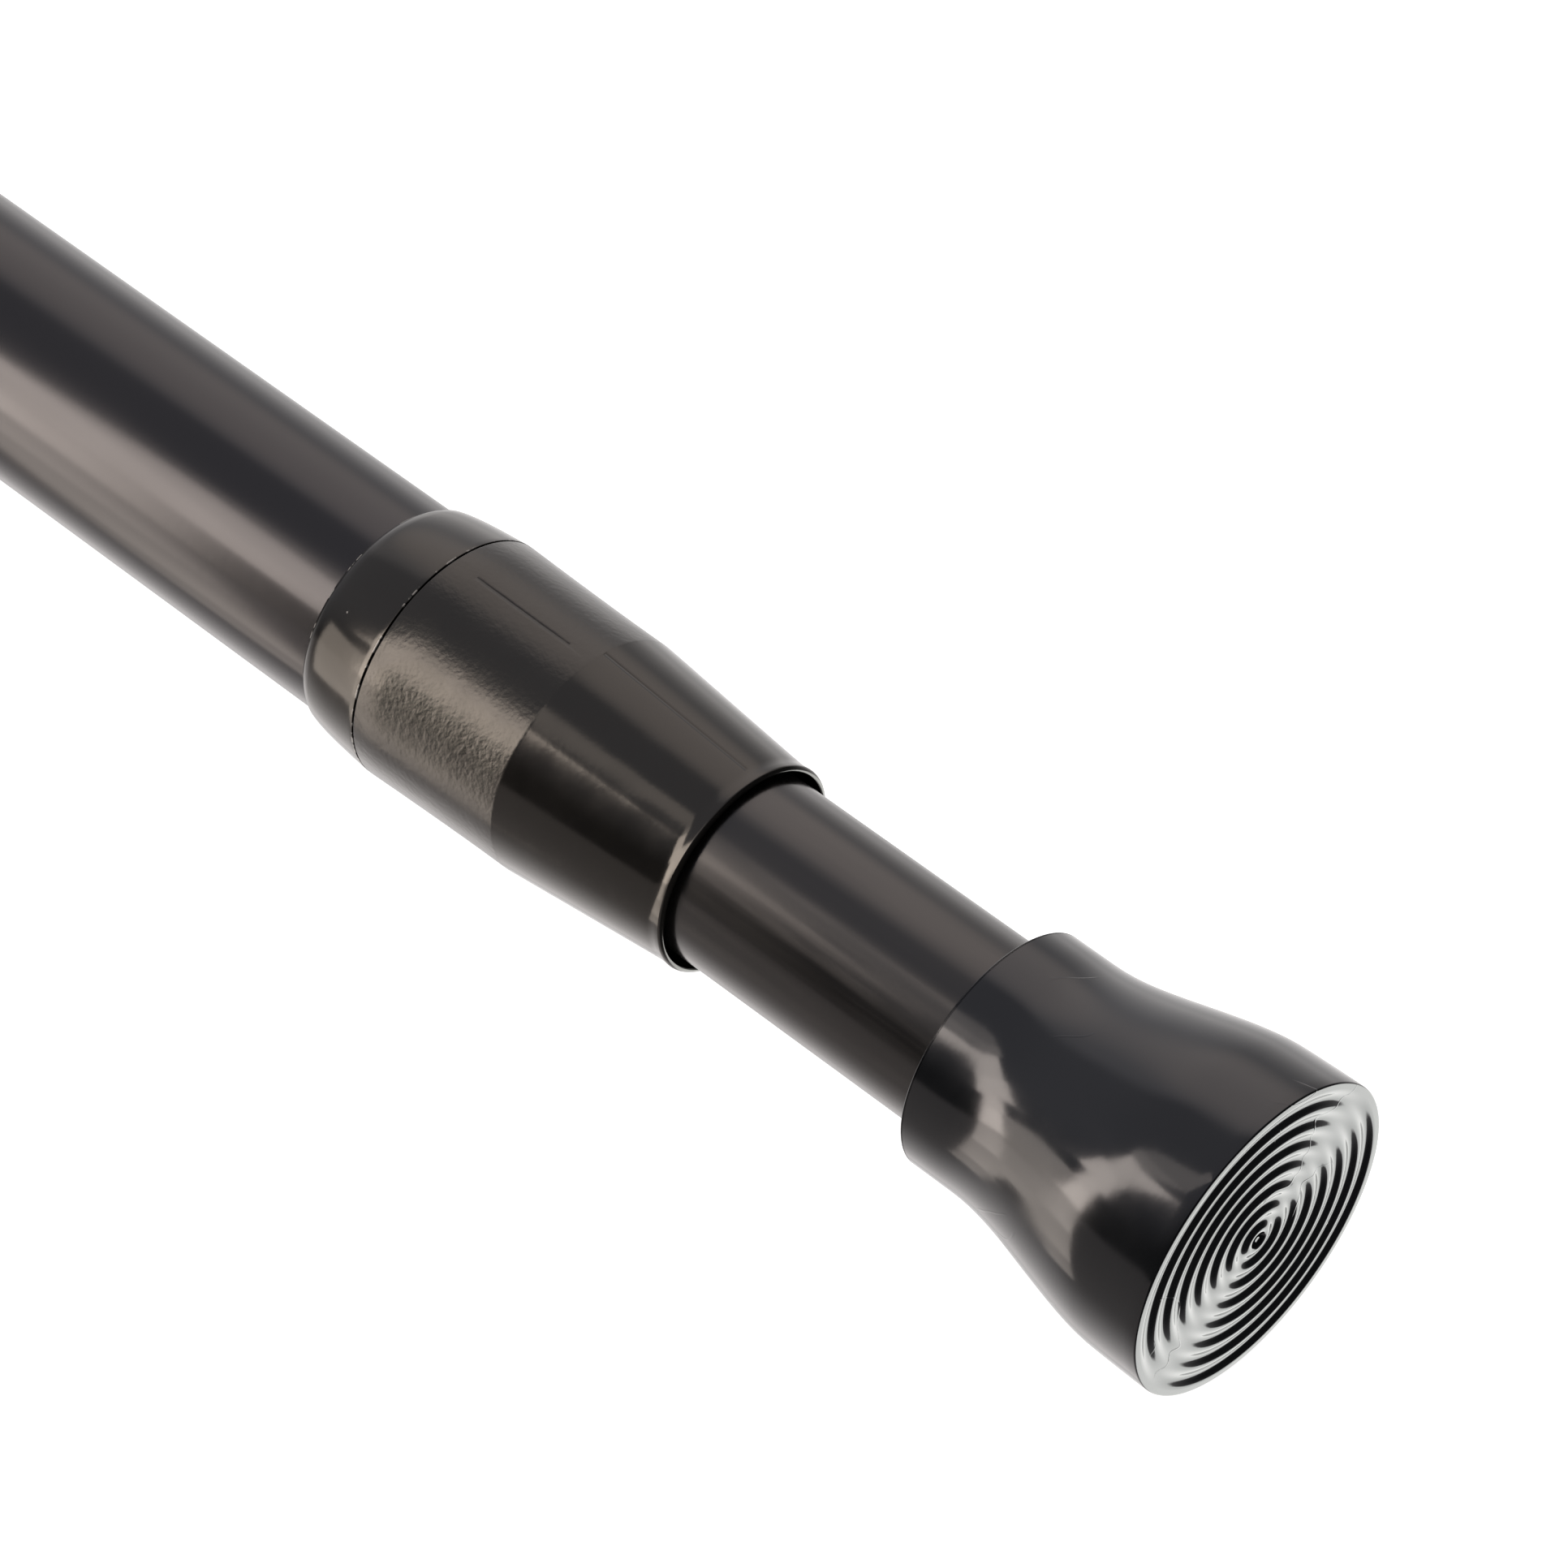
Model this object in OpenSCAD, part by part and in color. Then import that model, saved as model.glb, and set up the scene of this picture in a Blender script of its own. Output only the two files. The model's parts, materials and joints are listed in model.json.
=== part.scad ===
// Telescopic doorway pull-up bar. The bar lies along X: the centre of the jack foot's wall face
// is the origin, and the sliding end points towards +X. Millimetres.

/* [Overall] */
// Length of the bar from wall face to wall face, as stored
rest_length = 660; // [640:1:700]
// Bare inner tube seen between the collar and the sliding foot
neck_length = 34.2; // [34:0.1:45]

/* [Tubes] */
// Outside diameter of the outer tube
outer_d = 25.4; // [25.4:0.1:25.6]
// Outside diameter of the inner tube
inner_d = 21.7; // [21.6:0.1:22]
// Wall thickness of both tubes
tube_wall = 1.2; // [1.1:0.05:1.2]

/* [Feet] */
// Length of each rubber boot
boot_length = 34.6; // [34:0.1:36]
// Diameter of the wall face
face_d = 36.1; // [36:0.1:40]
// Diameter of the sliding foot's boot where the tube enters it
near_back_d = 27.6; // [27.4:0.1:29]
// Diameter of the jack foot's boot where the tube enters it
far_back_d = 31.2; // [31:0.1:32]
// Thickness of rubber at the wall face
face_skin = 4; // [3:0.5:4.5]
// Number of grooves in the wall face
groove_count = 7; // [4:1:7]
// Distance from one groove to the next
groove_pitch = 2.28; // [2.1:0.02:2.3]

/* [Twist collar] */
// Length of the fixed ring at the back of the collar
ring_length = 8.8; // [8:0.1:10]
// Length of the clamp nut
nut_length = 42.1; // [42:0.1:45]
// Diameter of the clamp nut at its back edge
nut_back_d = 28.9; // [28.8:0.1:30]
// Diameter of the clamp nut where its cone begins
nut_mid_d = 28.2; // [28.1:0.1:28.7]
// Diameter of the clamp nut at its lip
nut_lip_d = 24.4; // [24.4:0.1:25]
// Length of the cone on the clamp nut
nut_cone_length = 22.2; // [22:0.1:22.5]

/* [Jack] */
// Diameter of the jack spindle
spindle_d = 14; // [13:0.5:14]
// Travel of the jack foot
jack_travel = 12; // [8:1:12]

/* [Hidden] */
$fn = 96;

// Radii of the tubes
outer_r = outer_d / 2;
outer_bore_r = outer_r - tube_wall;
inner_r = inner_d / 2;
inner_bore_r = inner_r - tube_wall;

// Radial gaps
seat = 0.02;      // between pieces pressed together
running = 0.05;   // between pieces that slide or turn in each other
loose = 0.15;     // between a foot and the tube that it slips over

// Stations inside a foot, measured from its wall face
core_disc_end = face_skin + 8;
core_sleeve_end = boot_length - 3.3;
core_disc_r = 15.4;
near_sleeve_r = inner_r + loose + 1.45;
far_sleeve_r = outer_r + loose + 1.55;
pocket_depth = 4;

// Stations of the jack, measured from the jack foot's wall face
jack_flange_start = core_disc_end + 0.4;
tube_start = jack_flange_start + 2;
jack_nut_end = tube_start + 32;
stop_start = jack_nut_end + jack_travel + 0.2;
stop_width = 4;
spindle_end = stop_start + stop_width + 2;
spindle_r = spindle_d / 2;
head_flats = 20;
head_height = 6;
ring_groove_start = core_sleeve_end - 5;
ring_groove_width = 3;

// Stations of the sliding end, measured from the sliding foot's wall face
washer_start = core_disc_end + running;
washer_end = core_disc_end + 1 - running;
plug_flange_start = core_disc_end + 1;
inner_tube_start = plug_flange_start + 2;
plug_end = inner_tube_start + 28;
bolt_head_start = face_skin + 0.4;
bolt_head_end = face_skin + pocket_depth - 0.1;
bolt_shoulder_r = 4;
bolt_shank_r = 3;
bolt_end = plug_flange_start + 20;

// Stations along the bar
lip_x = rest_length - boot_length - neck_length;
nut_x = lip_x - nut_length;
collar_gap = 0.3;
ring_x = nut_x - collar_gap - ring_length;
cone_x = lip_x - nut_cone_length;
tube_end = ring_x + 20;
liner_length = 85;
liner_flange = 1.2;
liner_start = tube_end - liner_length;
extension = 340;
inner_tube_end = rest_length - inner_tube_start;
inner_tube_back = liner_start - extension;
guide_length = 12;
guide_spigot = 20;

// Twist collar, under the nut
thread_r = 13.3;
base_end = ring_x + 29.4;
clamp_start = base_end + 0.1;
clamp_length = 10;
clamp_back_r = 12.85;
clamp_front_r = 11.95;
base_front_bore_r = inner_r + 0.3;
nut_mouth_r = inner_r + 0.75;

// Pins
pin_r = 1.25;
collar_pin_x = ring_x + 14;
jack_pin_x = 40;
guide_pin_x = inner_tube_back + 10;
plug_pin_x = rest_length - core_disc_end - 14;

black = [0.09, 0.088, 0.095];
satin_black = [0.12, 0.118, 0.12];
rubber_black = [0.07, 0.07, 0.075];
core_grey = [0.3, 0.31, 0.33];
nylon = [0.86, 0.85, 0.8];
zinc = [0.68, 0.69, 0.7];

// A solid of revolution about the bar's axis. The outline is a list of [station, radius].
module turned(outline) {
    rotate([0, 90, 0]) rotate_extrude() polygon([for (p = outline) [p[1], p[0]]]);
}

// A plain ring about the bar's axis
module ring(x0, x1, r_in, r_out) {
    turned([[x0, r_in], [x1, r_in], [x1, r_out], [x0, r_out]]);
}

// A round pin that points away from the axis, on each side of the bar
module pin_pair(x, r_from, r_to, r) {
    for (side = [90, -90])
        translate([x, 0, 0]) rotate([side, 0, 0]) translate([0, 0, r_from]) cylinder(h = r_to - r_from, r = r);
}

// Radial holes that take the pins
module pin_holes(x, r) {
    translate([x, 0, 0]) rotate([90, 0, 0]) cylinder(h = 2 * outer_r + 8, r = r, center = true);
}

// Puts a piece of the sliding foot, drawn from its wall face inwards, at the far end of the bar
module at_sliding_end() {
    translate([rest_length, 0, 0]) mirror([1, 0, 0]) children();
}

// Smooth step from 0 at a to 1 at b
function ease(a, b, t) = let (u = min(1, max(0, (t - a) / (b - a)))) u * u * (3 - 2 * u);

// Share of the boot's flare at t, where t is 0 at the tube and 1 at the wall face
function flare(t) = 0.9 * ease(0.16, 0.79, t) + 0.1 * ease(0.55, 1, t);

// Outside radius of a boot at a station measured from its wall face
function boot_r(x, back_r) = back_r + (face_d / 2 - back_r) * flare(1 - x / boot_length);

// Groove k of the wall face, from its inner edge to its outer edge
groove_depth = 0.6;
groove_top = 1.3;
groove_floor = 0.7;
first_groove_r = 2.45;
function groove(k) = let (r = first_groove_r + k * groove_pitch) [
    [0, r - groove_top / 2], [groove_depth, r - groove_floor / 2],
    [groove_depth, r + groove_floor / 2], [0, r + groove_top / 2]
];

// Rubber boot, from its wall face inwards, with the room for its core
module boot(back_r, sleeve_r, mouth_r) {
    edge = 0.4;
    steps = 22;
    side = [for (i = [0:steps]) let (x = edge + (boot_length - 2 * edge) * i / steps) [x, boot_r(x, back_r)]];
    face = [for (k = [0:groove_count - 1]) each groove(k)];
    turned(concat(
        [[0, 0]], face, [[0, face_d / 2 - edge]],
        side,
        [
            [boot_length, back_r - edge], [boot_length, mouth_r], [core_sleeve_end + seat, mouth_r],
            [core_sleeve_end + seat, sleeve_r + seat], [core_disc_end + seat, sleeve_r + seat],
            [core_disc_end + seat, core_disc_r + seat], [face_skin - seat, core_disc_r + seat],
            [face_skin - seat, 0]
        ]
    ));
}

// Rigid core of a foot: a disc behind the wall face and a sleeve round the tube
module core(sleeve_r, bore_r, hole_r) {
    turned([
        [face_skin, hole_r], [face_skin, core_disc_r], [core_disc_end, core_disc_r],
        [core_disc_end, sleeve_r], [core_sleeve_end, sleeve_r], [core_sleeve_end, bore_r],
        [core_disc_end, bore_r], [core_disc_end, hole_r]
    ]);
}

module outer_tube() {
    color(black) difference() {
        ring(tube_start, tube_end, outer_bore_r, outer_r);
        pin_holes(collar_pin_x, pin_r + seat);
        pin_holes(jack_pin_x, pin_r + seat);
    }
}

// Fixed half of the twist collar: the ring that shows, and the threaded spigot under the nut
module collar_base() {
    ring_steps = 8;
    ring_edge_r = outer_r + 0.2;
    ring_curve = 0.45;
    crown = [for (i = [0:ring_steps]) [
        ring_x + ring_length * i / ring_steps,
        ring_edge_r + (nut_back_d / 2 - ring_edge_r) * pow(i / ring_steps, ring_curve)
    ]];
    bore_end = tube_end + liner_flange + seat;
    color(black) difference() {
        turned(concat(
            [[ring_x, outer_r + seat]], crown,
            [
                [ring_x + ring_length, thread_r], [base_end, thread_r], [base_end, base_front_bore_r],
                [bore_end, base_front_bore_r], [bore_end, outer_r + seat]
            ]
        ));
        pin_holes(collar_pin_x, pin_r + seat);
    }
}

module collar_pins() {
    color(zinc) pin_pair(collar_pin_x, outer_bore_r + seat, thread_r - seat, pin_r);
}

// Plastic liner that guides the inner tube in the outer tube's mouth and stops it from pulling out
module guide_liner() {
    color(nylon) turned([
        [liner_start, inner_r + running], [tube_end + liner_flange, inner_r + running],
        [tube_end + liner_flange, outer_r - seat], [tube_end + seat, outer_r - seat],
        [tube_end + seat, outer_bore_r - seat], [liner_start, outer_bore_r - seat]
    ]);
}

// Split cone that the nut squeezes onto the inner tube
module clamp_ring() {
    slit = 1.6;
    color(nylon) difference() {
        turned([
            [clamp_start, inner_r + running], [clamp_start + clamp_length, inner_r + running],
            [clamp_start + clamp_length, clamp_front_r], [clamp_start, clamp_back_r]
        ]);
        translate([clamp_start - 1, -slit / 2, -outer_r - 4]) cube([clamp_length + 2, slit, outer_r + 4]);
    }
}

// Turning half of the twist collar
module clamp_nut() {
    edge = 0.3;
    cone_start = clamp_start + 0.1;
    cone_end = clamp_start + clamp_length + 0.2;
    color(black) turned([
        [nut_x, thread_r + running], [nut_x, nut_back_d / 2 - edge], [nut_x + edge, nut_back_d / 2],
        [cone_x, nut_mid_d / 2], [lip_x - edge, nut_lip_d / 2 + edge * 0.09], [lip_x, nut_lip_d / 2 - edge],
        [lip_x, nut_mouth_r], [cone_end, nut_mouth_r], [cone_end, clamp_front_r + running],
        [cone_start, clamp_back_r + running], [cone_start, thread_r + running]
    ]);
}

module inner_tube() {
    color(satin_black) difference() {
        ring(inner_tube_back, inner_tube_end, inner_bore_r, inner_r);
        pin_holes(guide_pin_x, pin_r + seat);
        pin_holes(plug_pin_x, pin_r + seat);
    }
}

// Plug on the hidden end of the inner tube, which slides in the outer tube and meets the liner as a stop
module inner_guide() {
    bore_r = 6;
    guide_r = outer_bore_r - running;
    color(nylon) difference() {
        turned([
            [inner_tube_back - guide_length, bore_r], [inner_tube_back + guide_spigot, bore_r],
            [inner_tube_back + guide_spigot, inner_bore_r - seat], [inner_tube_back - seat, inner_bore_r - seat],
            [inner_tube_back - seat, guide_r], [inner_tube_back - guide_length, guide_r]
        ]);
        pin_holes(guide_pin_x, pin_r + seat);
    }
}

module inner_guide_pins() {
    color(zinc) pin_pair(guide_pin_x, 6.5, inner_r - 0.3, pin_r);
}

// Plug that closes the sliding end of the inner tube and takes the swivel bolt
module end_plug() {
    color(core_grey) difference() {
        at_sliding_end() turned([
            [plug_flange_start, bolt_shank_r + seat], [plug_flange_start, inner_r - seat],
            [inner_tube_start - seat, inner_r - seat], [inner_tube_start - seat, inner_bore_r - seat],
            [plug_end, inner_bore_r - seat], [plug_end, bolt_shank_r + seat]
        ]);
        pin_holes(plug_pin_x, pin_r + seat);
    }
}

module end_plug_pins() {
    color(zinc) pin_pair(plug_pin_x, bolt_shank_r + 0.6, inner_r - seat, pin_r);
}

// Shoulder bolt that holds the sliding foot on and lets it turn
module swivel_bolt() {
    head_r = 7;
    socket_flats = 5;
    socket_depth = 2.2;
    color(zinc) at_sliding_end() difference() {
        turned([
            [bolt_head_start, 0], [bolt_head_start, head_r], [bolt_head_end, head_r],
            [bolt_head_end, bolt_shoulder_r], [plug_flange_start - seat, bolt_shoulder_r],
            [plug_flange_start - seat, bolt_shank_r], [bolt_end, bolt_shank_r], [bolt_end, 0]
        ]);
        translate([bolt_head_start - 1, 0, 0]) rotate([0, 90, 0])
            cylinder(h = socket_depth + 1, r = socket_flats / sqrt(3), $fn = 6);
    }
}

module swivel_washer() {
    color(nylon) at_sliding_end() ring(washer_start, washer_end, bolt_shoulder_r + 0.1, 10);
}

module near_core() {
    head_room_r = 7.5;
    color(core_grey) at_sliding_end() difference() {
        core(near_sleeve_r, inner_r + loose, bolt_shoulder_r + running);
        translate([face_skin - 1, 0, 0]) rotate([0, 90, 0]) cylinder(h = pocket_depth + 1, r = head_room_r);
    }
}

module near_boot() {
    color(rubber_black) at_sliding_end() boot(near_back_d / 2, near_sleeve_r, inner_r + loose);
}

// Threaded plug in the end of the outer tube
module jack_nut() {
    color(zinc) difference() {
        turned([
            [jack_flange_start, spindle_r + running], [jack_flange_start, outer_r - seat],
            [tube_start - seat, outer_r - seat], [tube_start - seat, outer_bore_r - seat],
            [jack_nut_end, outer_bore_r - seat], [jack_nut_end, spindle_r + running]
        ]);
        pin_holes(jack_pin_x, pin_r + seat);
    }
}

module jack_nut_pins() {
    color(zinc) pin_pair(jack_pin_x, spindle_r + 0.6, outer_r - seat, pin_r);
}

// Split ring that floats in the jack foot's sleeve and keeps it centred on the tube
module jack_guide_ring() {
    slit = 1.6;
    color(nylon) difference() {
        ring(
            ring_groove_start + 0.1, ring_groove_start + ring_groove_width - 0.1,
            outer_r + running, outer_r + 0.8
        );
        translate([ring_groove_start - 1, -slit / 2, -outer_r - 4]) cube([ring_groove_width + 2, slit, 8]);
    }
}

// Hexagon-headed spindle that is fixed in the jack foot
module jack_spindle() {
    end_chamfer = 1;
    color(zinc) difference() {
        union() {
            translate([face_skin, 0, 0]) rotate([0, 90, 0])
                cylinder(h = head_height, r = head_flats / sqrt(3), $fn = 6);
            turned([
                [face_skin, 0], [face_skin, spindle_r], [spindle_end - end_chamfer, spindle_r],
                [spindle_end, spindle_r - end_chamfer], [spindle_end, 0]
            ]);
        }
        pin_holes(stop_start + stop_width / 2, pin_r + seat);
    }
}

// Collar that stops the spindle from leaving the jack nut
module jack_stop_collar() {
    color(zinc) difference() {
        ring(stop_start, stop_start + stop_width, spindle_r + seat, spindle_r + 3);
        pin_holes(stop_start + stop_width / 2, pin_r + seat);
    }
}

module jack_stop_pin() {
    color(zinc) translate([stop_start + stop_width / 2, 0, 0]) rotate([90, 0, 0])
        cylinder(h = 2 * spindle_r + 5.8, r = pin_r, center = true);
}

module far_core() {
    color(core_grey) difference() {
        core(far_sleeve_r, outer_r + loose, spindle_r + seat);
        translate([face_skin - 1, 0, 0]) rotate([0, 90, 0])
            cylinder(h = head_height + seat + 1, r = head_flats / sqrt(3) + seat, $fn = 6);
        ring(ring_groove_start, ring_groove_start + ring_groove_width, outer_r - 1, outer_r + 0.9);
    }
}

module far_boot() {
    color(rubber_black) boot(far_back_d / 2, far_sleeve_r, outer_r + loose);
}

outer_tube();
collar_base();
collar_pins();
guide_liner();
jack_nut();
jack_nut_pins();
clamp_ring();
clamp_nut();
inner_tube();
inner_guide();
inner_guide_pins();
end_plug();
end_plug_pins();
swivel_bolt();
swivel_washer();
near_core();
near_boot();
jack_guide_ring();
jack_spindle();
jack_stop_collar();
jack_stop_pin();
far_core();
far_boot();
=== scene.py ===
import json
import math

import bpy
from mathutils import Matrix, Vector


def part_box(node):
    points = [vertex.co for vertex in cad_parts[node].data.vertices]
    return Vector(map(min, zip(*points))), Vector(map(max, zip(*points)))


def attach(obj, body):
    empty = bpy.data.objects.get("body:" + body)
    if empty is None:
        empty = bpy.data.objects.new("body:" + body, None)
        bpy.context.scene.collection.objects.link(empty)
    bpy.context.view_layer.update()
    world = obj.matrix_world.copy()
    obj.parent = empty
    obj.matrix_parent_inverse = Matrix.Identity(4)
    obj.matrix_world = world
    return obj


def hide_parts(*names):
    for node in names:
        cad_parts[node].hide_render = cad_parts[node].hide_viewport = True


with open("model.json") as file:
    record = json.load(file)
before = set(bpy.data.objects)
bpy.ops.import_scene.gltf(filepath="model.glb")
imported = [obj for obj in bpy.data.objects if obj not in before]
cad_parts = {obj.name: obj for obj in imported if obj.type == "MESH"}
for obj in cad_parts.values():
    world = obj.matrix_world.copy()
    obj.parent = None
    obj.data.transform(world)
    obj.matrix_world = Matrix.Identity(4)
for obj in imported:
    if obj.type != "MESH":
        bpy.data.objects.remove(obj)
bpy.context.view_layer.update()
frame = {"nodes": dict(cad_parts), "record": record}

MM = 0.001

# ---------------------------------------------------------------- places and sizes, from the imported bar

BAR_END_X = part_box("near_boot")[1].x
BOOT_LENGTH = BAR_END_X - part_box("near_boot")[0].x
FACE_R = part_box("near_boot")[1].z
OUTER_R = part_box("outer_tube")[1].z
INNER_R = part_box("inner_tube")[1].z
OUTER_TUBE_X = (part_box("outer_tube")[0].x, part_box("outer_tube")[1].x)
INNER_TUBE_X = (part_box("inner_tube")[0].x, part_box("inner_tube")[1].x)
RING_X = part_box("collar_base")[0].x
SPIGOT_END_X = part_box("collar_base")[1].x
NUT_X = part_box("clamp_nut")[0].x
LIP_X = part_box("clamp_nut")[1].x
NUT_BACK_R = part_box("clamp_nut")[1].z
FLOOR_Z = -FACE_R

CONE_LENGTH = 22.2 * MM
CONE_X = LIP_X - CONE_LENGTH
TUBE_WALL = 1.2 * MM
NUT_MID_R = 14.1 * MM
LIP_R = 12.25 * MM
LIP_BORE_R = INNER_R + 0.75 * MM
THREAD_R = 13.3 * MM
NEAR_BACK_R = 13.8 * MM
FAR_BACK_R = 15.6 * MM
FACE_SKIN = 4 * MM
SEAT = 0.02 * MM  # between pieces pressed together
RUNNING = 0.05 * MM  # between pieces that turn in each other

SEGMENTS = 192  # round each turned piece
SMOOTH_BELOW = math.radians(40)


# ---------------------------------------------------------------- camera

CAMERA_TURN = math.radians(43.54)
CAMERA_RISE = math.radians(48.15)
CAMERA_LENS = 152.8
SENSOR_WIDTH = 36
AIM_X = BAR_END_X - 59.58 * MM
AIM_RIGHT = -2.68 * MM
AIM_UP = 13.54 * MM
AIM_BACK = 670.4 * MM


def place_camera():
    turn, rise = CAMERA_TURN, CAMERA_RISE
    right = Vector((math.cos(turn), math.sin(turn), 0))
    back = Vector((math.sin(turn) * math.cos(rise), -math.cos(turn) * math.cos(rise), math.sin(rise)))
    up = back.cross(right)
    bpy.ops.object.camera_add()
    camera = bpy.context.object
    camera.name = "camera"
    camera.data.lens = CAMERA_LENS
    camera.data.sensor_width = SENSOR_WIDTH
    camera.data.clip_start = 0.01
    camera.data.clip_end = 50
    camera.location = Vector((AIM_X, 0, 0)) + AIM_RIGHT * right + AIM_UP * up + AIM_BACK * back
    camera.rotation_euler = (math.pi / 2 - rise, 0, turn)
    bpy.context.scene.camera = camera


# ---------------------------------------------------------------- lathe and bench tools

def turned(name, outline):
    """A closed solid of revolution: one point is extruded along the outline and spun about the bar."""
    bpy.ops.object.select_all(action="DESELECT")
    bpy.ops.mesh.primitive_plane_add(size=MM)
    piece = bpy.context.object
    piece.name = name
    bpy.ops.object.mode_set(mode="EDIT")
    bpy.ops.mesh.select_all(action="SELECT")
    bpy.ops.mesh.merge(type="CENTER")
    bpy.ops.transform.translate(value=(outline[0][0], 0, outline[0][1]))
    for (x, r), (next_x, next_r) in zip(outline, outline[1:] + outline[:1]):
        bpy.ops.mesh.extrude_region_move(TRANSFORM_OT_translate={"value": (next_x - x, 0, next_r - r)})
    bpy.ops.mesh.select_all(action="SELECT")
    bpy.ops.mesh.spin(steps=SEGMENTS, angle=2 * math.pi, center=(0, 0, 0), axis=(1, 0, 0))
    bpy.ops.mesh.select_all(action="SELECT")
    bpy.ops.mesh.remove_doubles(threshold=0.002 * MM)
    bpy.ops.mesh.normals_make_consistent(inside=False)
    bpy.ops.object.mode_set(mode="OBJECT")
    bpy.ops.object.shade_smooth_by_angle(angle=SMOOTH_BELOW)
    return piece


def rounded(corners, steps=4):
    """An outline from corners (x, r, fillet): each corner with a fillet becomes a short arc."""
    outline = []
    for k, (x, r, fillet) in enumerate(corners):
        if not fillet:
            outline.append((x, r))
            continue
        here = Vector((x, r))
        before = (Vector(corners[k - 1][:2]) - here).normalized()
        after = (Vector(corners[(k + 1) % len(corners)][:2]) - here).normalized()
        start, end = here + before * fillet, here + after * fillet
        for step in range(steps + 1):
            t = step / steps
            point = start * (1 - t) ** 2 + here * 2 * t * (1 - t) + end * t ** 2
            outline.append((point.x, point.y))
    return outline


def mirrored_to_end(outline, x_end):
    """Turns an outline measured from a wall face inwards into one at the sliding end of the bar."""
    return [(x_end - x, r) for x, r in outline]


def select_points(piece, test):
    """Selects the points of a piece whose places pass the test, and leaves it in edit mode."""
    bpy.ops.object.mode_set(mode="EDIT")
    bpy.ops.mesh.select_mode(type="VERT")
    bpy.ops.mesh.select_all(action="DESELECT")
    bpy.ops.object.mode_set(mode="OBJECT")
    for vertex in piece.data.vertices:
        vertex.select = test(vertex.co)
    bpy.ops.object.mode_set(mode="EDIT")


def mould_seam(piece, x_from, x_to, columns, width, depth):
    """Sinks a thin parting line along the outside of the nut, some columns round from the top."""
    skin = 0.5 * MM
    off_line = 0.01 * MM
    angle = 2 * math.pi * columns / SEGMENTS
    outward = Vector((0, math.sin(angle), math.cos(angle)))
    across = Vector((0, math.cos(angle), -math.sin(angle)))

    def on_line(co):
        taper = max(0, (co.x - CONE_X) / (LIP_X - CONE_X))
        outside_r = NUT_MID_R + (LIP_R - NUT_MID_R) * taper
        on_outside = co.dot(outward) > outside_r - skin
        return on_outside and x_from < co.x < x_to and abs(co.dot(across)) < off_line

    select_points(piece, on_line)
    bpy.ops.mesh.bevel(offset=width / 2, segments=2, affect="EDGES")
    select_points(piece, on_line)
    bpy.ops.transform.translate(value=-outward * depth)
    bpy.ops.object.mode_set(mode="OBJECT")


# ---------------------------------------------------------------- pieces of the bar

def make_tube(name, ends, radius):
    edge = 0.25 * MM
    bore = radius - TUBE_WALL
    start, end = ends
    return turned(name, rounded([
        (start, bore, edge), (end, bore, edge), (end, radius, edge), (start, radius, edge),
    ]))


def make_collar_base():
    """The domed rear ring, and the threaded spigot under the nut."""
    steps = 12
    dome_power = 0.45
    parting_gap = 0.16 * MM
    liner_flange = 1.2 * MM
    start_r = OUTER_R + 0.2 * MM
    length = NUT_X - parting_gap - RING_X
    tube_r = OUTER_R + SEAT
    crown = [
        (RING_X + length * k / steps, start_r + (NUT_BACK_R - start_r) * (k / steps) ** dome_power, 0)
        for k in range(1, steps)
    ]
    groove_x = RING_X + length
    neck_r = INNER_R + 0.3 * MM
    shoulder_x = OUTER_TUBE_X[1] + liner_flange + SEAT
    return turned("collar_ring", rounded(
        [(RING_X, tube_r, 0), (RING_X, start_r, 0.08 * MM)]
        + crown
        + [
            (groove_x, NUT_BACK_R, 0.1 * MM), (groove_x, THREAD_R, 0.1 * MM),
            (SPIGOT_END_X, THREAD_R, 0.3 * MM), (SPIGOT_END_X, neck_r, 0.1 * MM),
            (shoulder_x, neck_r, 0), (shoulder_x, tube_r, 0),
        ]
    ))


def make_clamp_nut():
    """The long nut: a slightly tapered barrel, a cone, and a beaded lip."""
    steps = 6
    bore_r = THREAD_R + RUNNING
    cone_seat_x = SPIGOT_END_X + 0.2 * MM
    cone_seat_end = SPIGOT_END_X + 10.3 * MM
    cone_seat_r, cone_seat_end_r = 12.9 * MM, 12.0 * MM
    barrel_length = CONE_X - NUT_X
    barrel = []
    for k in range(1, steps):
        taper = math.sin(math.pi / 2 * k / steps)
        r = NUT_BACK_R + (NUT_MID_R - NUT_BACK_R) * taper
        barrel.append((NUT_X + barrel_length * k / steps, r, 0))
    bead_x = LIP_X - 1.5 * MM
    piece = turned("twist_nut", rounded(
        [(NUT_X, bore_r, 0.1 * MM), (NUT_X, NUT_BACK_R, 0.12 * MM)]
        + barrel
        + [
            (CONE_X, NUT_MID_R, 0.2 * MM), (bead_x, LIP_R - 0.08 * MM, 0.5 * MM),
            (LIP_X - 0.25 * MM, LIP_R + 0.04 * MM, 0.2 * MM), (LIP_X, LIP_R - 0.25 * MM, 0.15 * MM),
            (LIP_X, LIP_BORE_R + 0.12 * MM, 0.12 * MM), (LIP_X - 0.5 * MM, LIP_BORE_R, 0.3 * MM),
            (cone_seat_end, LIP_BORE_R, 0.2 * MM), (cone_seat_end, cone_seat_end_r, 0.1 * MM),
            (cone_seat_x, cone_seat_r, 0), (cone_seat_x, bore_r, 0),
        ]
    ))
    seam_width, seam_depth = 0.18 * MM, 0.08 * MM
    barrel_seam, cone_seam = 2, 6
    mould_seam(piece, NUT_X + 2 * MM, CONE_X - 0.6 * MM, barrel_seam, seam_width, seam_depth)
    mould_seam(piece, CONE_X + 0.001 * MM, LIP_X - 1.9 * MM, cone_seam, seam_width, seam_depth)
    return piece


def ease(low, high, t):
    """A smooth step from 0 at low to 1 at high."""
    u = min(1, max(0, (t - low) / (high - low)))
    return u * u * (3 - 2 * u)


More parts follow.
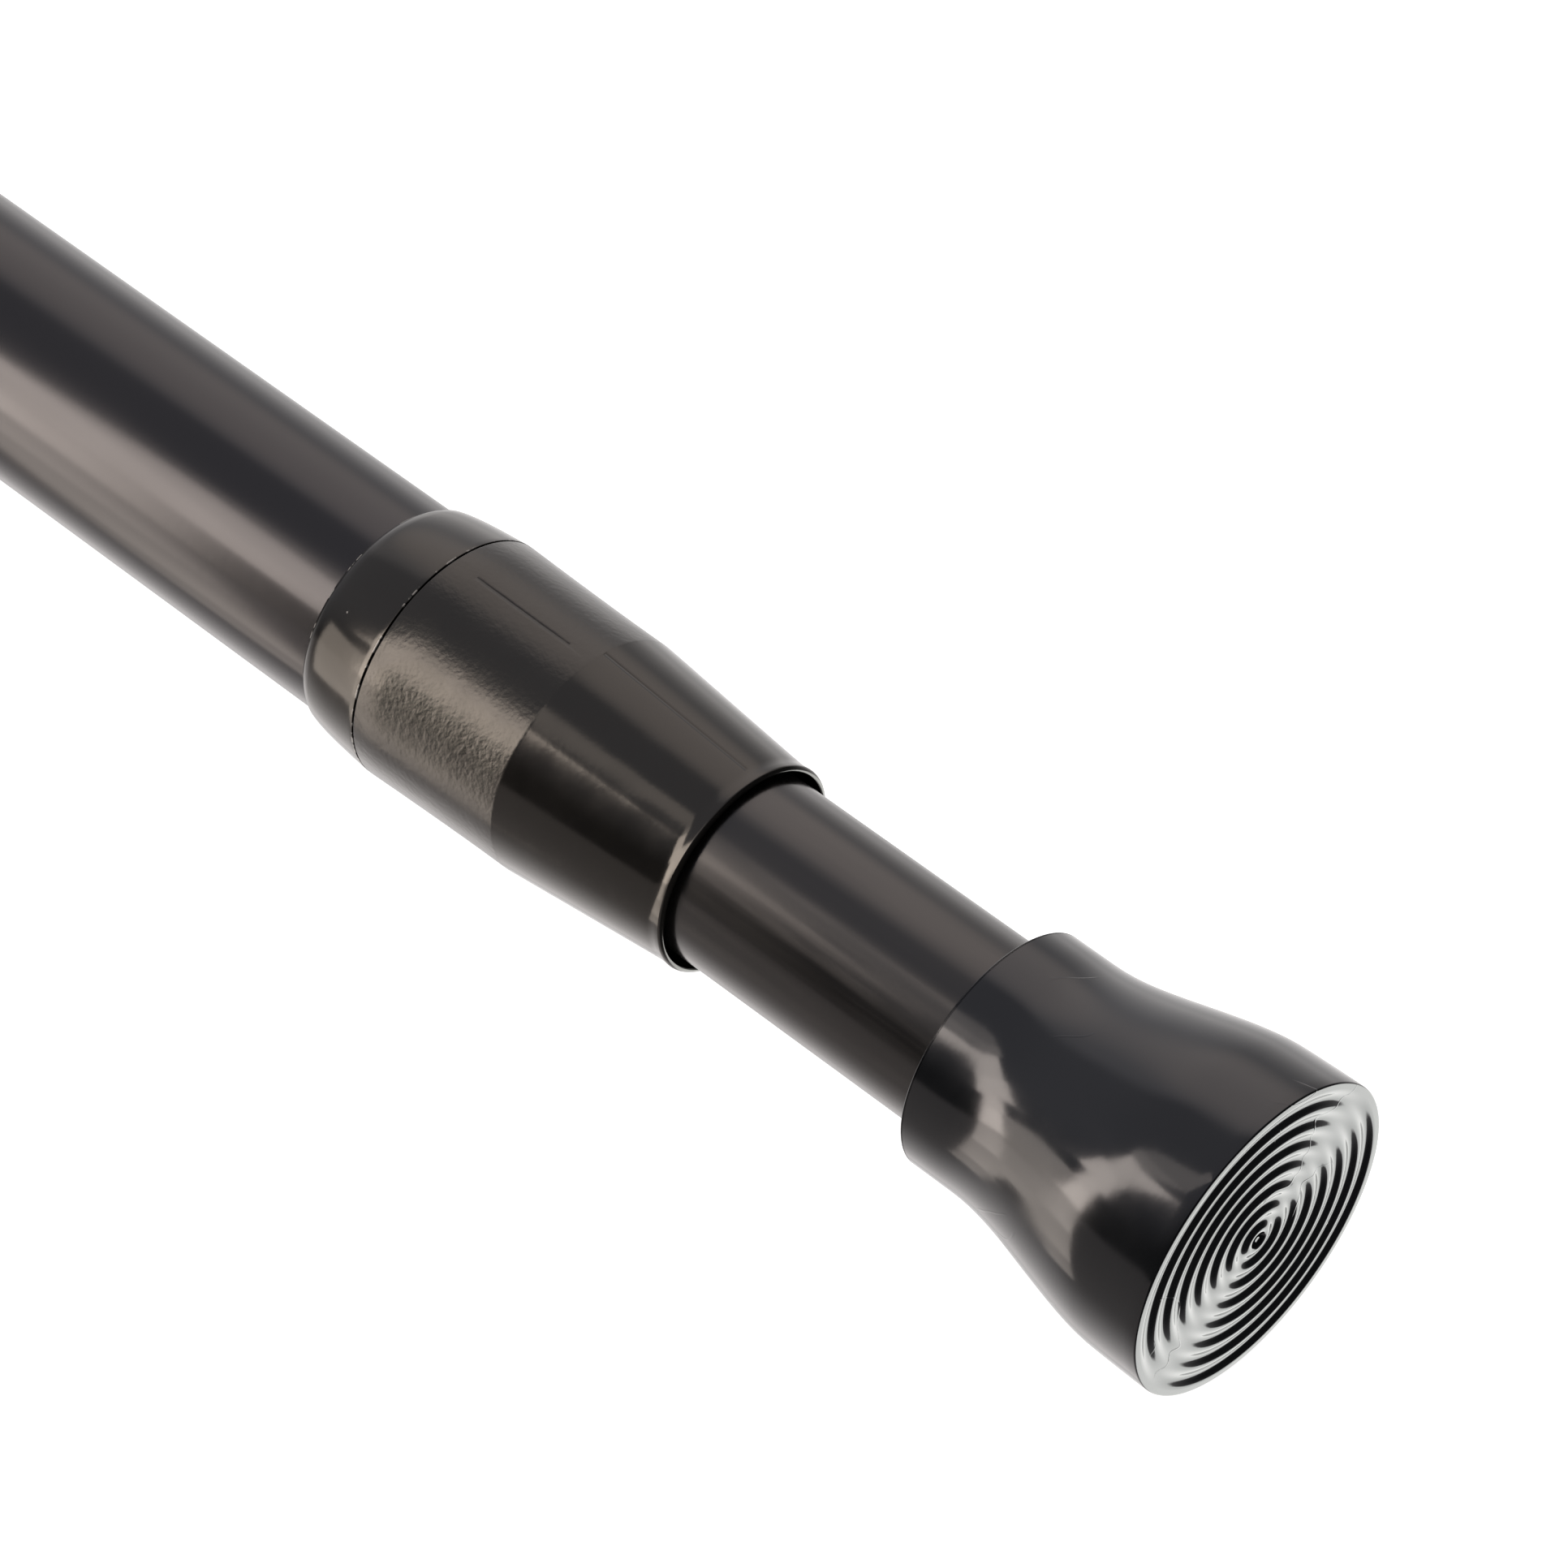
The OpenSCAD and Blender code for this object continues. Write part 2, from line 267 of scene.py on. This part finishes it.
RIPPLE_PITCH = 2.28 * MM
RIPPLE_RISE = 0.17 * MM
LAST_RIPPLE_R = 16.13 * MM
RIPPLE_START_R = 1.0 * MM
RIPPLE_END_R = LAST_RIPPLE_R + RIPPLE_PITCH / 2


def wall_face():
    """Outline of the rippled wall face, from the gate mark at its centre to the rim."""
    steps = 84
    outline = [(0.25 * MM, 0), (0.2 * MM, 0.3 * MM), (0.5 * MM, 0.55 * MM), (0.42 * MM, 0.8 * MM)]
    for k in range(steps + 1):
        r = RIPPLE_START_R + (RIPPLE_END_R - RIPPLE_START_R) * k / steps
        wave = math.cos(2 * math.pi * (r - LAST_RIPPLE_R) / RIPPLE_PITCH)
        outline.append((RIPPLE_RISE * (1 + wave), r))
    return outline


def boot_outline(back_r, sleeve_r, mouth_r):
    """Outline of a boot, measured from its wall face inwards."""
    steps = 26
    core_disc_end, core_disc_r = FACE_SKIN + 8 * MM, 15.4 * MM
    core_end = BOOT_LENGTH - 3.3 * MM
    rim_edge = 0.2 * MM
    side = []
    for k in range(steps + 1):
        x = rim_edge + (BOOT_LENGTH - 2 * rim_edge) * k / steps
        t = 1 - x / BOOT_LENGTH
        flare = 0.9 * ease(0.16, 0.79, t) + 0.1 * ease(0.55, 1, t)
        side.append((x, back_r + (FACE_R - back_r) * flare))
    rim = rounded([
        (0, RIPPLE_END_R + 0.05 * MM, 0), (0, FACE_R - 0.01 * MM, rim_edge), (rim_edge * 1.2, FACE_R, 0),
    ], steps=6)[:-1]
    mouth = rounded([
        side[-1] + (0,), (BOOT_LENGTH, back_r, 0.4 * MM), (BOOT_LENGTH, mouth_r, 0.25 * MM),
        (core_end + SEAT, mouth_r, 0), (core_end + SEAT, sleeve_r + SEAT, 0),
        (core_disc_end + SEAT, sleeve_r + SEAT, 0), (core_disc_end + SEAT, core_disc_r + SEAT, 0),
        (FACE_SKIN - SEAT, core_disc_r + SEAT, 0), (FACE_SKIN - SEAT, 0, 0),
    ])[1:]
    return wall_face() + rim + side[1:] + mouth


def make_near_boot():
    outline = boot_outline(NEAR_BACK_R, INNER_R + 1.6 * MM, INNER_R + 0.15 * MM)
    return turned("sliding_foot_boot", mirrored_to_end(outline, BAR_END_X))


def make_far_boot():
    return turned("jack_foot_boot", boot_outline(FAR_BACK_R, OUTER_R + 1.7 * MM, OUTER_R + 0.15 * MM))


# ---------------------------------------------------------------- material tools

def put(tree, kind, inputs=None, **settings):
    """Adds a shader node. An input takes a value, or another node's output to be joined to it."""
    node = tree.nodes.new("ShaderNode" + kind)
    for name, value in settings.items():
        setattr(node, name, value)
    for name, value in (inputs or {}).items():
        if isinstance(value, bpy.types.NodeSocket):
            tree.links.new(value, node.inputs[name])
        else:
            node.inputs[name].default_value = value
    return node


def new_finish(name, colour, gloss_tint=(1, 1, 1), metallic=0.0, ior=1.5):
    material = bpy.data.materials.new(name)
    material.use_nodes = True
    shader = material.node_tree.nodes["Principled BSDF"]
    shader.inputs["Base Color"].default_value = (*colour, 1)
    shader.inputs["Metallic"].default_value = metallic
    shader.inputs["IOR"].default_value = ior
    shader.inputs["Specular Tint"].default_value = (*gloss_tint, 1)
    return material, material.node_tree, shader


def grain(tree, size, stretch=(1, 1, 1), detail=2.0):
    """Noise with features of about this size, stretched along the bar's axes."""
    place = put(tree, "TexCoord")
    mapping = put(tree, "Mapping", {"Vector": place.outputs["Object"], "Scale": stretch})
    noise = put(tree, "TexNoise", {"Vector": mapping.outputs["Vector"], "Scale": 1 / size, "Detail": detail})
    return noise.outputs["Fac"]


def along_bar(tree):
    place = put(tree, "TexCoord")
    return put(tree, "SeparateXYZ", {"Vector": place.outputs["Object"]}).outputs["X"]


def spread(tree, value, low, high, to_low=0.0, to_high=1.0):
    node = put(tree, "MapRange", {
        "Value": value, "From Min": low, "From Max": high, "To Min": to_low, "To Max": to_high,
    }, interpolation_type="SMOOTHSTEP")
    return node.outputs["Result"]


def between(tree, noise, low, high):
    """Noise turned into a value that wanders between low and high."""
    return spread(tree, noise, 0.3, 0.7, low, high)


def times(tree, first, second):
    return put(tree, "Math", {0: first, 1: second}, operation="MULTIPLY").outputs[0]


def plus(tree, first, second):
    return put(tree, "Math", {0: first, 1: second}, operation="ADD").outputs[0]


def distance_from(tree, value, centre):
    offset = plus(tree, value, -centre)
    return put(tree, "Math", {0: offset}, operation="ABSOLUTE").outputs[0]


def relief(tree, height, depth, normal=None):
    """Bump of this depth, on top of an earlier one if there is one."""
    inputs = {"Height": height, "Distance": depth, "Strength": 1.0}
    if normal is not None:
        inputs["Normal"] = normal
    return put(tree, "Bump", inputs).outputs["Normal"]


def dust(tree, spacing, size, share):
    """Sparse round specks: a cell of the grid holds one only if its own random number is high."""
    place = put(tree, "TexCoord")
    cells = put(tree, "TexVoronoi", {"Vector": place.outputs["Object"], "Scale": 1 / spacing})
    speck = spread(tree, cells.outputs["Distance"], size / spacing * 0.7, size / spacing, 1, 0)
    random = put(tree, "SeparateColor", {"Color": cells.outputs["Color"]}).outputs["Red"]
    return times(tree, speck, spread(tree, random, 1 - share - 0.01, 1 - share))


def mix_colour(tree, mask, dark, light):
    mix = tree.nodes.new("ShaderNodeMix")
    mix.data_type = "RGBA"
    tree.links.new(mask, mix.inputs[0])
    mix.inputs[6].default_value = (*dark, 1)
    mix.inputs[7].default_value = (*light, 1)
    return mix.outputs[2]


DUST_GREY = (0.32, 0.31, 0.29)
# grey of the lines at the collar's edges: flash nicks, and painted highlight where the edges catch the light
FLASH_AND_HIGHLIGHT_GREY = (0.24, 0.23, 0.22)


def join(tree, shader, colour, rough, normal):
    tree.links.new(colour, shader.inputs["Base Color"])
    tree.links.new(rough, shader.inputs["Roughness"])
    tree.links.new(normal, shader.inputs["Normal"])


# ---------------------------------------------------------------- finishes

def gloss_enamel():
    """Outer tube: glossy, with a little orange peel and drawing marks along it."""
    black = (0.0046, 0.0043, 0.005)
    material, tree, shader = new_finish("gloss_enamel", black, gloss_tint=(0.98, 0.95, 1.0))
    peel = grain(tree, 1.3 * MM, detail=1)
    drawn = grain(tree, 0.9 * MM, (0.03, 1, 1))
    normal = relief(tree, peel, 0.0016 * MM)
    normal = relief(tree, drawn, 0.0009 * MM, normal)
    rough = between(tree, grain(tree, 9 * MM, (0.3, 1, 1)), 0.155, 0.2)
    specks = dust(tree, spacing=7 * MM, size=0.13 * MM, share=0.12)
    join(tree, shader, mix_colour(tree, specks, black, DUST_GREY), rough, normal)
    return material


def satin_enamel():
    """Inner tube: satin, with rubbed streaks along it."""
    black = (0.005, 0.0046, 0.0046)
    material, tree, shader = new_finish("satin_enamel", black, gloss_tint=(1.0, 0.96, 0.96), ior=1.6)
    streak = grain(tree, 1.1 * MM, (0.04, 1, 1), 3)
    peel = grain(tree, 0.7 * MM, detail=1)
    cloud = grain(tree, 5 * MM, (0.25, 1, 1))
    rough = plus(tree, between(tree, streak, 0.0, 0.07), between(tree, cloud, 0.15, 0.2))
    normal = relief(tree, streak, 0.002 * MM)
    normal = relief(tree, peel, 0.0015 * MM, normal)
    specks = dust(tree, spacing=6 * MM, size=0.12 * MM, share=0.1)
    join(tree, shader, mix_colour(tree, specks, black, DUST_GREY), rough, normal)
    return material


def flash_and_highlight_line(tree, x, width):
    """A broken grey line round the bar at x: painted highlight where the edge catches the light, together
    with flash and nicks.
    """
    line = spread(tree, distance_from(tree, along_bar(tree), x), width * 0.4, width, 1, 0)
    return times(tree, line, spread(tree, grain(tree, 1.6 * MM, detail=4), 0.5, 0.58))


def moulded_black():
    """Moulded collar: spark-etched barrel, polished cone and ring, and grey lines at the edges that are
    flash nicks with painted highlight.
    """
    black = (0.005, 0.0045, 0.0041)
    material, tree, shader = new_finish("moulded_black", black, gloss_tint=(1.0, 0.95, 0.9))
    place = along_bar(tree)
    barrel = times(
        tree,
        spread(tree, place, NUT_X - 0.1 * MM, NUT_X + 0.1 * MM),
        spread(tree, place, CONE_X - 0.3 * MM, CONE_X + 0.3 * MM, 1, 0),
    )
    etched = times(tree, grain(tree, 0.6 * MM, detail=4), spread(tree, barrel, 0, 1, 0.12, 1))
    normal = relief(tree, grain(tree, 5 * MM, detail=1), 0.02 * MM)
    normal = relief(tree, etched, 0.028 * MM, normal)
    cloud = between(tree, grain(tree, 4 * MM, detail=3), 0, 0.04)
    rough = plus(tree, spread(tree, barrel, 0, 1, 0.11, 0.19), cloud)
    # grey lines at the ring's rear edge and at the parting line: painted highlight where the edges catch the
    # light, with flash nicks; dust specks join them
    flash_and_highlight_width = 0.14 * MM
    rear_flash_and_highlight = flash_and_highlight_line(tree, RING_X + 0.1 * MM, flash_and_highlight_width)
    parting_flash_and_highlight = flash_and_highlight_line(tree, NUT_X - 0.26 * MM, flash_and_highlight_width)
    specks = dust(tree, spacing=4 * MM, size=0.13 * MM, share=0.14)
    flash_highlight_and_dust = plus(tree, plus(tree, rear_flash_and_highlight, parting_flash_and_highlight), specks)
    join(tree, shader, mix_colour(tree, flash_highlight_and_dust, black, FLASH_AND_HIGHLIGHT_GREY), rough, normal)
    return material


def boot_rubber():
    """Polished soft vinyl with slow waves, a few knit lines and dust, and a smoother wall face."""
    black = (0.0038, 0.0042, 0.0048)
    material, tree, shader = new_finish("boot_rubber", black, gloss_tint=(0.95, 0.95, 1.0))
    swirl = distance_from(tree, grain(tree, 11 * MM, detail=1), 0.5)
    knit = times(tree, spread(tree, swirl, 0.0, 0.006, 1, 0), spread(tree, grain(tree, 14 * MM), 0.52, 0.6))
    normal = relief(tree, grain(tree, 8 * MM, detail=1), 0.035 * MM)
    normal = relief(tree, knit, 0.015 * MM, normal)
    normal = relief(tree, grain(tree, 0.5 * MM), 0.0012 * MM, normal)
    cloud = between(tree, grain(tree, 6 * MM, detail=4), 0.09, 0.15)
    face_start, face_end = BAR_END_X - 0.6 * MM, BAR_END_X - 0.4 * MM
    rough = times(tree, cloud, spread(tree, along_bar(tree), face_start, face_end, 1, 0.4))
    specks = dust(tree, spacing=5 * MM, size=0.16 * MM, share=0.14)
    join(tree, shader, mix_colour(tree, specks, black, DUST_GREY), rough, normal)
    return material


def core_plastic():
    grey = (0.05, 0.053, 0.058)
    light_grey = (0.1, 0.105, 0.11)
    material, tree, shader = new_finish("core_plastic", grey)
    fibre = grain(tree, 0.4 * MM, (0.3, 1, 1), 4)
    colour = mix_colour(tree, spread(tree, fibre, 0.45, 0.7), grey, light_grey)
    join(tree, shader, colour, between(tree, fibre, 0.42, 0.6), relief(tree, fibre, 0.01 * MM))
    return material


def natural_nylon():
    cream = (0.72, 0.69, 0.6)
    light_cream = (0.8, 0.78, 0.7)
    material, tree, shader = new_finish("natural_nylon", cream, ior=1.53)
    cloud = grain(tree, 3 * MM, detail=3)
    colour = mix_colour(tree, cloud, cream, light_cream)
    normal = relief(tree, grain(tree, 0.6 * MM), 0.006 * MM)
    join(tree, shader, colour, between(tree, cloud, 0.34, 0.46), normal)
    return material


def zinc_steel():
    bright = (0.56, 0.58, 0.6)
    yellowed = (0.68, 0.67, 0.62)
    material, tree, shader = new_finish("zinc_steel", bright, metallic=1.0)
    lathe_lines = grain(tree, 0.25 * MM, (1, 0.08, 0.08), 2)
    cloud = grain(tree, 2.5 * MM, detail=3)
    colour = mix_colour(tree, cloud, bright, yellowed)
    join(tree, shader, colour, between(tree, cloud, 0.24, 0.38), relief(tree, lathe_lines, 0.004 * MM))
    return material


# ---------------------------------------------------------------- studio

WARM = (1.12, 1.0, 0.88)
STUDIO_RIGHT = Vector((math.cos(CAMERA_TURN), math.sin(CAMERA_TURN), 0))
STUDIO_FORWARD = Vector((-math.sin(CAMERA_TURN), math.cos(CAMERA_TURN), 0))
STRIP_RIGHT = -0.6  # the strip stands this far right of the bar's end, so to its left


def studio_point(right, forward, height):
    """A point measured from the sliding end of the bar, along the directions the camera faces."""
    level = Vector((BAR_END_X, 0, 0)) + right * STUDIO_RIGHT + forward * STUDIO_FORWARD
    return level + Vector((0, 0, height))


def soft_light(name, low, high, radiance):
    """An upright panel at the left of the bar, from (forward, height) low to high, facing right."""
    width, height = high[0] - low[0], high[1] - low[1]
    centre = studio_point(STRIP_RIGHT, (low[0] + high[0]) / 2, (low[1] + high[1]) / 2)
    bpy.ops.object.select_all(action="DESELECT")
    bpy.ops.object.light_add(type="AREA", location=centre)
    light = bpy.context.object
    light.name = name
    light.data.shape = "RECTANGLE"
    light.data.size = width
    light.data.size_y = height
    light.data.energy = radiance * math.pi * width * height
    light.data.color = WARM
    light.rotation_euler = (math.pi / 2, 0, CAMERA_TURN - math.pi / 2)
    light.visible_camera = False


def light_strip():
    """A tall narrow softbox, with a fainter curtain above it and its own image in the glossy table."""
    panels = [
        # forward and height of the low corner, then of the high corner, in metres, and radiance
        ((-0.085, 0.0), (0.0, 0.12), 8.4),
        ((-0.085, 0.12), (0.01, 0.2), 7.4),
        ((-0.125, 0.2), (0.05, 0.34), 6.8),
        ((-0.135, 0.34), (0.03, 0.57), 6.0),
        ((-0.085, 0.57), (0.06, 0.7), 1.9),
        ((-0.085, 0.7), (0.06, 1.35), 1.2),
    ]
    for k, (low, high, radiance) in enumerate(panels):
        soft_light("strip_%d" % k, low, high, radiance)
    table = 2 * FLOOR_Z
    soft_light("strip_on_table", (-0.085, table - 0.12), (0.0, 0.0), 4.4)
    soft_light("strip_in_table", (-0.09, table - 0.3), (0.03, table - 0.12), 2.8)
    soft_light("strip_deep_in_table", (-0.09, table - 0.42), (0.04, table - 0.3), 1.6)
    soft_light("strip_side", (0.0, table - 0.2), (0.11, 0.12), 2.4)


LOBES = [
    # direction, angles inside which it is full and outside which it is gone, and its radiance
    ((-0.65, 0.10, 0.75), 30, 75, (0.50, 0.50, 0.54)),
    ((-0.50, 0.75, 0.43), 36, 45, (0.40, 0.38, 0.37)),
    ((-0.42, 0.61, 0.67), 10, 30, (0.70, 0.58, 0.48)),
    ((-0.35, -0.61, -0.71), 42, 46, (0.44, 0.40, 0.38)),
    ((-0.45, 0.45, -0.77), 24, 72, (1.08, 1.05, 1.04)),
]
DARK_ROOM = 0.05
PATCH_DIRECTION = (0.20, 0.50, -0.84)
PATCH_ANGLES = (21, 25)
PATCH_GROWS = (-0.3, 0.7)
PATCH_ENDS = (0.59, 0.63)
PATCH_RADIANCE = (4.5, 4.6, 4.4)
SEEN_WHITE = 1.15
FLOOR_SIZE = 8
FLOOR_GLOW = 0.95


def light_room():
    """Soft panels all round in a dim room. The camera itself sees white behind everything."""
    world = bpy.data.worlds.new("studio")
    world.use_nodes = True
    bpy.context.scene.world = world
    tree = world.node_tree
    place = put(tree, "TexCoord").outputs["Generated"]

    def cap(direction, inner, outer):
        inputs = {0: place, 1: Vector(direction).normalized()}
        facing = put(tree, "VectorMath", inputs, operation="DOT_PRODUCT").outputs["Value"]
        return spread(tree, facing, math.cos(math.radians(outer)), math.cos(math.radians(inner)))

    def scaled(colour, mask):
        return put(tree, "VectorMath", {0: colour, "Scale": mask}, operation="SCALE").outputs["Vector"]

    def added(first, second):
        return put(tree, "VectorMath", {0: first, 1: second}, operation="ADD").outputs["Vector"]

    total = (DARK_ROOM, DARK_ROOM, DARK_ROOM)
    for direction, inner, outer, colour in LOBES:
        total = added(scaled(colour, cap(direction, inner, outer)), total)

    # a bright patch low behind the wall face, which grows towards the face and then ends sharply
    x = put(tree, "SeparateXYZ", {"Vector": place}).outputs["X"]
    grows_from, grows_to = PATCH_GROWS
    growth = put(tree, "MapRange", {"Value": x, "From Min": grows_from, "From Max": grows_to})
    ending = spread(tree, x, *PATCH_ENDS, 1, 0)
    patch = times(tree, growth.outputs["Result"], ending)
    patch = times(tree, patch, cap(PATCH_DIRECTION, *PATCH_ANGLES))
    total = added(scaled(PATCH_RADIANCE, patch), total)

    seen = put(tree, "LightPath").outputs["Is Camera Ray"]
    colour = tree.nodes.new("ShaderNodeMix")
    colour.data_type = "VECTOR"
    tree.links.new(seen, colour.inputs["Factor"])
    tree.links.new(total, colour.inputs[4])
    colour.inputs[5].default_value = (SEEN_WHITE, SEEN_WHITE, SEEN_WHITE)
    tree.links.new(colour.outputs[1], tree.nodes["Background"].inputs["Color"])


def lay_floor():
    """A white table under the bar, which takes its soft shade but stays out of its reflections."""
    bpy.ops.object.select_all(action="DESELECT")
    bpy.ops.mesh.primitive_plane_add(size=FLOOR_SIZE, location=(BAR_END_X / 2, 0, FLOOR_Z))
    floor = bpy.context.object
    floor.name = "floor"
    floor.visible_glossy = False
    floor.visible_shadow = False
    material, tree, shader = new_finish("white_table", (0.9, 0.9, 0.9))
    shader.inputs["Roughness"].default_value = 0.9
    shader.inputs["Emission Color"].default_value = (1, 1, 1, 1)
    shader.inputs["Emission Strength"].default_value = FLOOR_GLOW
    floor.data.materials.append(material)


# ---------------------------------------------------------------- build

place_camera()

finishes = {
    "gloss_enamel": gloss_enamel(),
    "satin_enamel": satin_enamel(),
    "moulded_black": moulded_black(),
    "boot_rubber": boot_rubber(),
    "core_plastic": core_plastic(),
    "nylon": natural_nylon(),
    "zinc_steel": zinc_steel(),
}

slot_of = {part["node"]: part["material_slot"] for part in frame["record"]["subparts"]}
for name, node in frame["nodes"].items():
    node.data.materials.clear()
    node.data.materials.append(finishes[slot_of[name]])

PIECES = [
    (make_tube("outer_tube_shell", OUTER_TUBE_X, OUTER_R), "bar", "outer_tube"),
    (make_tube("inner_tube_shell", INNER_TUBE_X, INNER_R), "inner", "inner_tube"),
    (make_collar_base(), "bar", "collar_base"),
    (make_clamp_nut(), "nut", "clamp_nut"),
    (make_near_boot(), "sliding_foot", "near_boot"),
    (make_far_boot(), "jack_foot", "far_boot"),
]
for piece, body, node in PIECES:
    piece.data.materials.append(finishes[slot_of[node]])
    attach(piece, body)
    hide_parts(node)

lay_floor()
light_strip()
light_room()

bpy.context.scene.view_settings.view_transform = "Standard"
